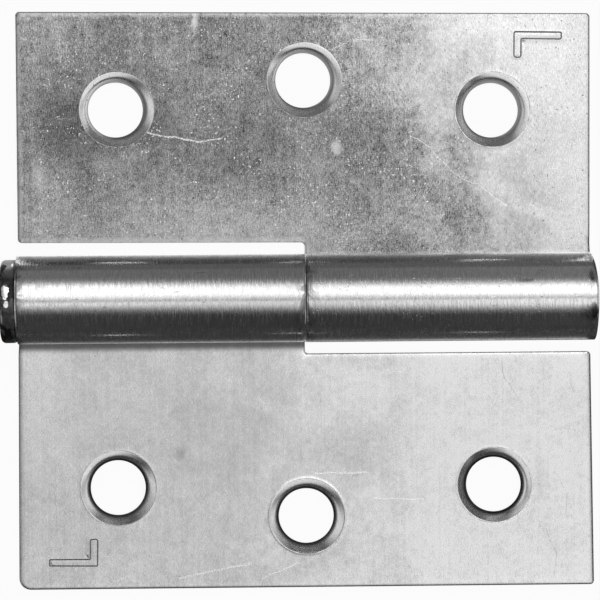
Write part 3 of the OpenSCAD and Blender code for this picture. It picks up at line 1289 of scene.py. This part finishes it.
UPPER_BRIGHT = (
    Scratch((-20.38, 21.71), (-15.51, 20.82), 0.16, 0.9),
    Scratch((-15.51, 20.82), (-13.55, 20.57), 0.16, 0.9),
    Scratch((-13.55, 20.57), (-10.66, 20.98), 0.13, 0.8),
    Scratch((-14.29, 26.05), (-11.5, 27.0), 0.1, 0.4),
    Scratch((14.1, 21.24), (16.84, 19.38), 0.12, 0.45),
    Scratch((17.09, 18.85), (20.87, 15.42), 0.12, 0.45),
    Scratch((20.87, 15.42), (22.83, 14.75), 0.12, 0.5),
    Scratch((22.83, 14.75), (26.6, 11.97), 0.12, 0.5),
    Scratch((3.84, 32.46), (6.21, 33.88), 0.12, 0.5),
    Scratch((6.21, 33.88), (9.09, 33.99), 0.12, 0.5),
)
LOWER_BRIGHT = (
    Scratch((1.17, -22.94), (7.98, -22.87), 0.15, 1.0),
    Scratch((8.74, -26.28), (15.42, -26.33), 0.13, 0.8),
    Scratch((-16.63, -36.56), (-7.18, -34.54), 0.19, 1.0),
    Scratch((-25.94, -37.4), (-23.18, -36.11), 0.17, 1.0),
    Scratch((-5.89, -36.64), (-0.89, -34.59), 0.17, 1.0),
)
LOWER_DARK = (
    Scratch((25.79, -8.2), (26.16, -10.96), 0.08, 0.35),
    Scratch((26.16, -10.96), (28.62, -14.25), 0.08, 0.35),
    Scratch((34.67, -11.29), (35.31, -12.73), 0.08, 0.3),
    Scratch((31.5, -30.65), (32.79, -33.81), 0.08, 0.3),
    Scratch((32.79, -33.81), (32.5, -36.95), 0.08, 0.3),
    Scratch((33.39, -24.12), (34.29, -25.83), 0.08, 0.3),
    Scratch((34.29, -25.83), (34.01, -28.58), 0.08, 0.3),
)


def main() -> None:
    """Builds the studio and the three pieces of the hinge, in order."""
    logging.basicConfig(level=logging.INFO, format="%(name)s: %(message)s")
    Studio().build()
    LOG.info("studio built")
    group = scratch_group()
    upper = ZincFinish(
        name="zinc_upper_painted_shade", seed=11.0, unshaded_level=0.745, painted_shade_level=0.32, shade_starts_at=41.0, shade_full_at=13.0,
        shade_slope=0.4, plate_sign=1.0, grit=0.95, mottle=1.3, flecks=1.3, painted_foot_shade=0.0,
        painted_sink_shade=0.26, dish=0.95, painted_flank_lines=((-21.8, 0.96), (-7.27, 0.3)),
        holes=((-24.4, 24.86), (0.2, 28.6), (24.8, 24.56)), bright=UPPER_BRIGHT, dark=(),
        stains=(
            Stain((-25.0, 24.0), (10.0, 10.0), -0.06), Stain((-31.5, 22.5), (4.5, 6.0), -0.10),
            Stain((-19.0, 22.5), (3.5, 3.5), -0.06), Stain((-12.0, 7.0), (24.0, 8.5), 0.18),
            Stain((-36.0, 12.0), (7.0, 9.0), 0.12), Stain((-34.0, 36.0), (8.0, 6.0), 0.10),
            Stain((-14.1, 36.3), (0.6, 1.5), 0.35), Stain((4.4, 19.7), (0.8, 1.5), 0.30),
            Stain((3.9, 25.0), (1.1, 0.8), 0.18), Stain((-34.8, 17.2), (0.8, 3.0), 0.12),
            Stain((-9.0, 19.5), (11.0, 8.0), -0.06), Stain((36.6, -12.9), (1.8, 1.1), -0.4),
            Stain((36.9, -16.9), (0.6, 1.0), -0.5), Stain((28.2, -16.5), (1.7, 0.3), -0.4),
            Stain((-27.0, 17.5), (1.5, 1.4), 0.10), Stain((8.6, 33.5), (7.0, 3.0), 0.05),
        ),
    )
    lower = ZincFinish(
        name="zinc_lower_painted_shade", seed=47.0, unshaded_level=0.925, painted_shade_level=0.74, shade_starts_at=18.0, shade_full_at=-12.0,
        shade_slope=0.1, plate_sign=-1.0, grit=0.76, mottle=2.0, flecks=0.35, painted_foot_shade=0.8,
        painted_sink_shade=0.15, dish=0.88, painted_flank_lines=((7.27, 0.96),),
        holes=((-24.6, -24.7), (0.0, -28.6), (24.6, -24.7)), bright=LOWER_BRIGHT, dark=LOWER_DARK,
        stains=(
            Stain((30.6, -24.1), (1.5, 4.0), -0.10), Stain((9.1, -16.0), (7.0, 3.5), -0.06),
            Stain((-12.0, -18.0), (12.0, 8.0), -0.04), Stain((-16.4, -20.3), (1.0, 1.2), -0.12),
            Stain((8.0, -20.5), (8.0, 4.0), -0.05), Stain((-36.0, -14.0), (7.0, 16.0), 0.08),
        ),
    )
    for leaf, finish in (
        (
            Leaf(Side.PIN, "pin_leaf", reach=37.9, knuckle_corner=1.5, knuckle_end=37.38,
                 end_recess=0.2, skew=0.0, flare=(0.24, 0.12), sink_shift=-0.1,
                 leans=(35.0, 90.0, 110.0), lips=(0.014, 0.05, 0.02), edge_ease=(0.3, 0.0)),
            lower,
        ),
        (
            Leaf(Side.SOCKET, "socket_leaf", reach=37.42, knuckle_corner=0.5, knuckle_end=37.6,
                 end_recess=1.3, skew=0.0081, flare=(0.1, 0.24), sink_shift=0.2,
                 leans=(118.0, 60.0, 42.0), lips=(0.03, 0.03, 0.015), edge_ease=(0.75, 0.4)),
            upper,
        ),
    ):
        made = leaf.build(finish.material(group))
        leaf.dress(made)
        LOG.info("%s built: %d faces", leaf.body, len(made.data.polygons))
    pin = HeadedPin()
    made = pin.build(PeenedSteel().material())
    pin.dress(made)
    LOG.info("pin built: %d faces", len(made.data.polygons))


if __name__ == "__main__":
    main()
